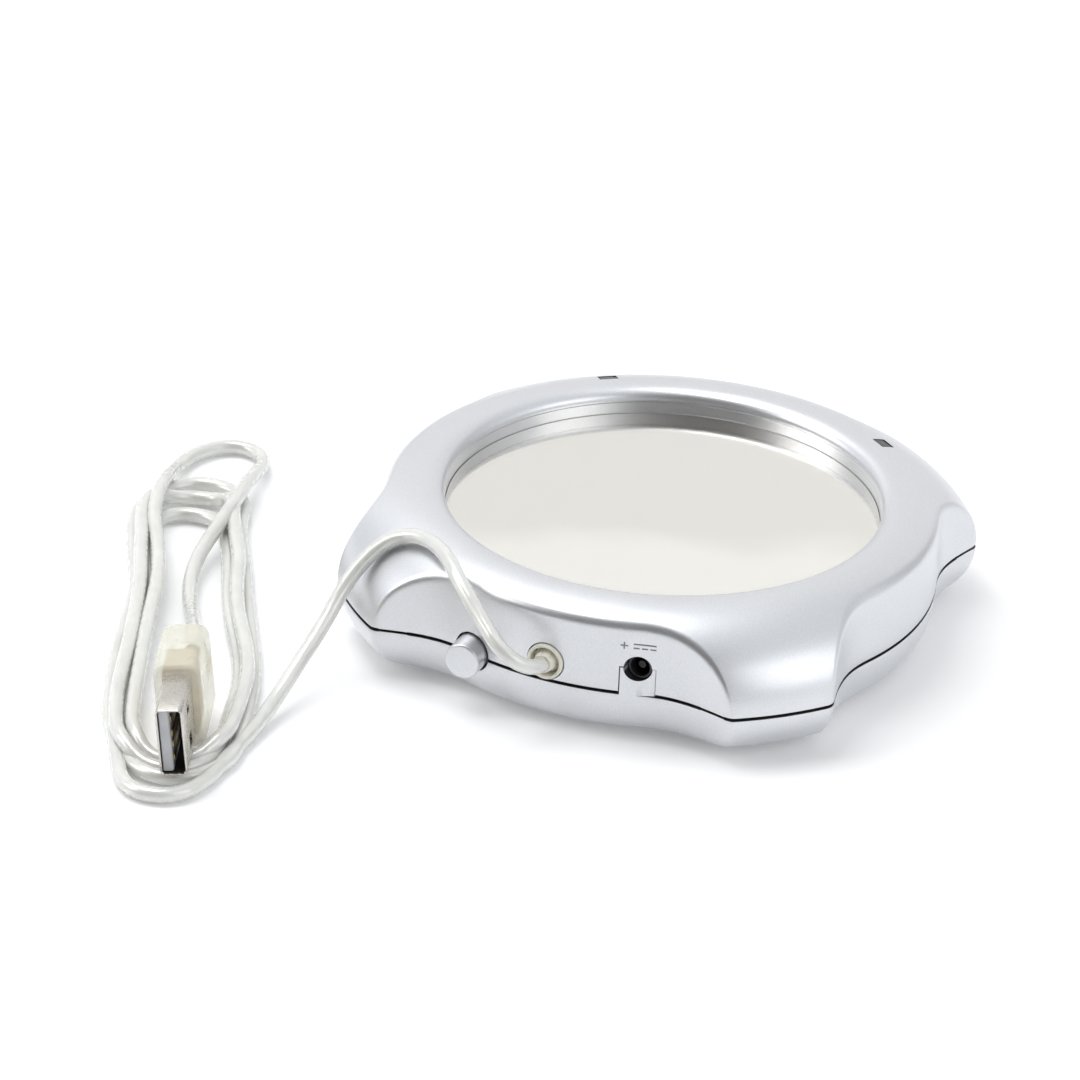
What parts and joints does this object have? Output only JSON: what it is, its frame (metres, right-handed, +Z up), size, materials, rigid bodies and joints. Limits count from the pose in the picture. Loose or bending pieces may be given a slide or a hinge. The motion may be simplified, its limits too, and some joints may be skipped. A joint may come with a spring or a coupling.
{
  "type": "usb cup warmer",
  "caption": "Desk cup warmer: silver two-part housing with flared wings, a sunken heated plate, a push button, a DC inlet and a clear USB lead folded in a hank.",
  "frame": {"origin": "on the table, under the middle of the housing's footprint with the button included; the axis of the plate's well is 1 mm behind it in +Y", "axes": "+Z up, -Y out of the side with the button, cable gland and DC inlet, +X to the right seen from there"},
  "size_m": [0.1441, 0.15, 0.0259],
  "materials": {
    "silver_paint": "satin silver metallic lacquer on moulded plastic",
    "polished_plate": "polished, with faint brushing",
    "screw_steel": "bright zinc",
    "plug_steel": "satin nickel plate",
    "cream_vinyl": "translucent, semi gloss",
    "clear_vinyl": "clear jacket over a bright braid, glossy",
    "black_plastic": "moulded, satin",
    "smoked_lens": "smoked, glossy",
    "led_resin": "diffused resin",
    "green_board": "solder mask",
    "grey_rubber": "matte",
    "white_silicone": "matte",
    "heater_film": "amber film",
    "felt_pad": "pressed fibre",
    "amber_plastic": "moulded, heat resistant",
    "tongue_white": "moulded",
    "contact_gold": "gold flash",
    "red_vinyl": "wire jacket",
    "black_vinyl": "wire jacket"
  },
  "bodies": {
    "housing": {"top_shell": "silver_paint", "bottom_shell": "silver_paint", "heating_plate": "polished_plate", "plate_gasket": "white_silicone", "heater_element": "heater_film", "insulation_pad": "felt_pad", "heater_retainer": "amber_plastic", "retainer_screw_1": "screw_steel", "retainer_screw_2": "screw_steel", "retainer_screw_3": "screw_steel", "thermostat": "black_plastic", "circuit_board": "green_board", "board_screw_1": "screw_steel", "board_screw_2": "screw_steel", "switch_body": "black_plastic", "dc_jack_body": "black_plastic", "dc_jack_pin": "contact_gold", "led_lamp_left": "led_resin", "led_window_left": "smoked_lens", "led_lamp_right": "led_resin", "led_window_right": "smoked_lens", "strain_relief": "cream_vinyl", "cable_clamp": "black_plastic", "clamp_screw_1": "screw_steel", "clamp_screw_2": "screw_steel", "inner_cable": "clear_vinyl", "supply_lead_red": "red_vinyl", "supply_lead_black": "black_vinyl", "heater_lead_red": "red_vinyl", "heater_lead_black": "black_vinyl", "case_screw_1": "screw_steel", "foot_1": "grey_rubber", "case_screw_2": "screw_steel", "foot_2": "grey_rubber", "case_screw_3": "screw_steel", "foot_3": "grey_rubber", "case_screw_4": "screw_steel", "foot_4": "grey_rubber", "usb_cable": "clear_vinyl", "cable_hank": "clear_vinyl", "plug_overmould": "cream_vinyl", "plug_shell": "plug_steel", "plug_tongue": "tongue_white", "plug_contact_1": "contact_gold", "plug_contact_2": "contact_gold", "plug_contact_3": "contact_gold", "plug_contact_4": "contact_gold"},
    "button": {"button_cap": "silver_paint", "switch_plunger": "tongue_white"}
  },
  "joints": [
    {"name": "button_press", "type": "slide", "parent": "housing", "child": "button", "axis": [0, 1, 0], "range_m": [0, 0.0025], "stiffness_N_per_m": 400}
  ]
}
